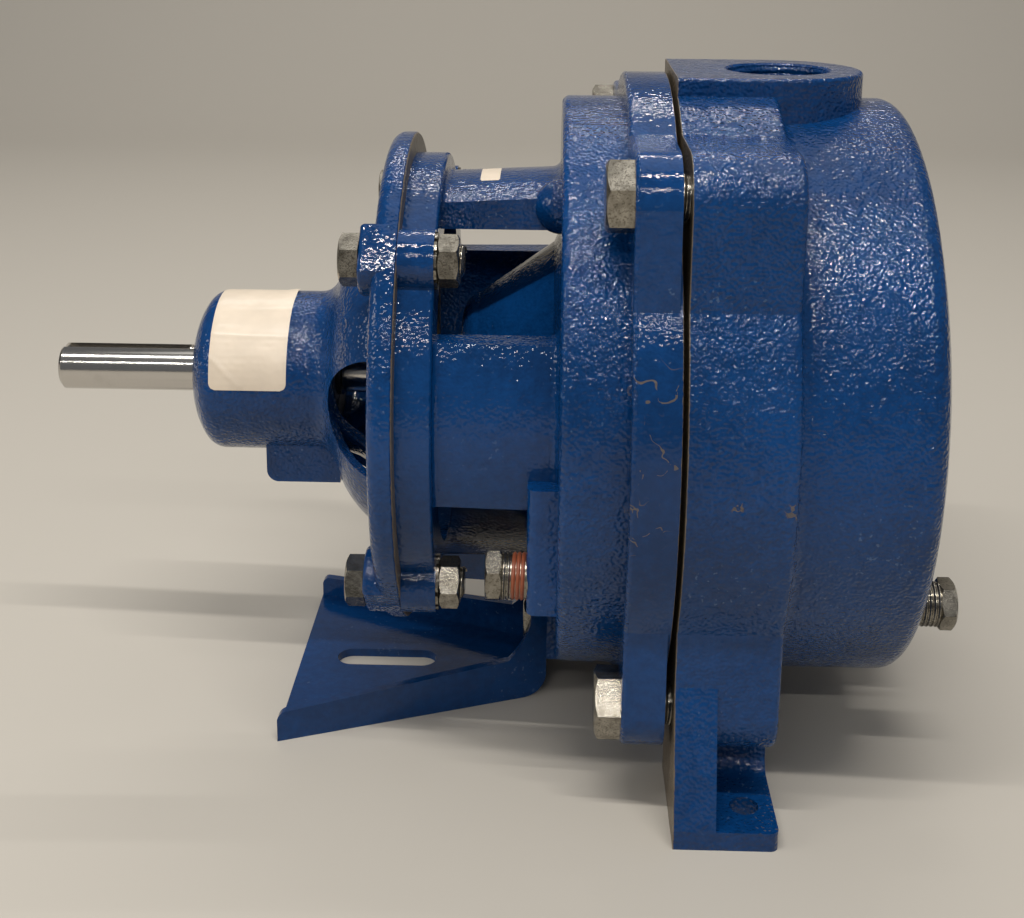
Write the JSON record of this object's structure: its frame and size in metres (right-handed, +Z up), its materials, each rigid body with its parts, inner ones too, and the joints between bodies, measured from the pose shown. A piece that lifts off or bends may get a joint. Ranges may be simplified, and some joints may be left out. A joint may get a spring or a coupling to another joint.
{
  "type": "jet well pump",
  "caption": "Belt-drive jet well pump end with keyed shaft, windowed bearing frame, open four-arm adapter, round ported casing with feet and a slotted support bracket.",
  "frame": {"origin": "middle of the bounding box at the plane the feet and bracket stand on", "axes": "+X along the shaft from the keyed end towards the casing's ported end, +Z up towards the discharge port, -Y towards the side with the plug boss"},
  "size_m": [0.2972, 0.207, 0.218],
  "materials": {
    "bearing_frame_paint": "gloss",
    "adapter_paint": "gloss",
    "casing_paint": "gloss",
    "bracket_paint": "gloss",
    "shaft_steel": "satin",
    "seal_rubber": "matte",
    "bearing_steel": "polished",
    "cage_steel": "satin",
    "spring_steel": "satin",
    "seat_ceramic": "satin",
    "carbon": "satin",
    "stainless": "satin",
    "impeller_plastic": "satin",
    "insert_brass": "satin",
    "guide_vane_plastic": "satin",
    "gasket_rubber": "matte",
    "frame_fastener_zinc": "satin",
    "frame_nut_zinc": "satin",
    "washer_zinc": "satin",
    "casing_bolt_zinc": "satin",
    "plug_steel": "satin",
    "drain_plug_steel": "satin",
    "bracket_bolt_zinc": "satin"
  },
  "bodies": {
    "pump": {"bearing_frame": "bearing_frame_paint", "drive_end_lip_seal": "seal_rubber", "outboard_bearing_outer_ring": "bearing_steel", "inboard_bearing_outer_ring": "bearing_steel", "bearing_retaining_ring": "spring_steel", "adapter": "adapter_paint", "seal_seat_cup": "seal_rubber", "seal_seat": "seat_ceramic", "guide_vane": "guide_vane_plastic", "wear_ring": "stainless", "guide_seal_ring": "seal_rubber", "casing": "casing_paint", "casing_gasket": "gasket_rubber", "frame_bolts": "frame_fastener_zinc", "frame_nuts": "frame_nut_zinc", "frame_star_washers": "washer_zinc", "casing_bolts": "casing_bolt_zinc", "adapter_plug": "plug_steel", "casing_drain_plug": "drain_plug_steel", "support_bracket": "bracket_paint", "bracket_bolts": "bracket_bolt_zinc"},
    "rotor": {"shaft": "shaft_steel", "outboard_bearing_inner_ring": "bearing_steel", "inboard_bearing_inner_ring": "bearing_steel", "shaft_snap_ring": "spring_steel", "slinger": "seal_rubber", "seal_carbon": "carbon", "seal_bellows": "seal_rubber", "seal_retainer": "stainless", "seal_spring": "stainless", "impeller": "impeller_plastic", "impeller_insert": "insert_brass"},
    "outboard_balls": {"outboard_bearing_balls": "bearing_steel", "outboard_bearing_cage": "cage_steel"},
    "inboard_balls": {"inboard_bearing_balls": "bearing_steel", "inboard_bearing_cage": "cage_steel"}
  },
  "joints": [
    {"name": "shaft_spin", "type": "hinge", "parent": "pump", "child": "rotor", "pos_m": [-0.02595, 0, 0.1125], "axis": [1, 0, 0], "continuous": true},
    {"name": "outboard_balls_turn", "type": "hinge", "parent": "pump", "child": "outboard_balls", "pos_m": [-0.02595, 0, 0.1125], "axis": [1, 0, 0], "continuous": true},
    {"name": "inboard_balls_turn", "type": "hinge", "parent": "pump", "child": "inboard_balls", "pos_m": [-0.02595, 0, 0.1125], "axis": [1, 0, 0], "continuous": true}
  ],
  "couplings": [
    {"joint": "outboard_balls_turn", "follows": "shaft_spin", "ratio": 0.38175},
    {"joint": "inboard_balls_turn", "follows": "shaft_spin", "ratio": 0.38175}
  ]
}
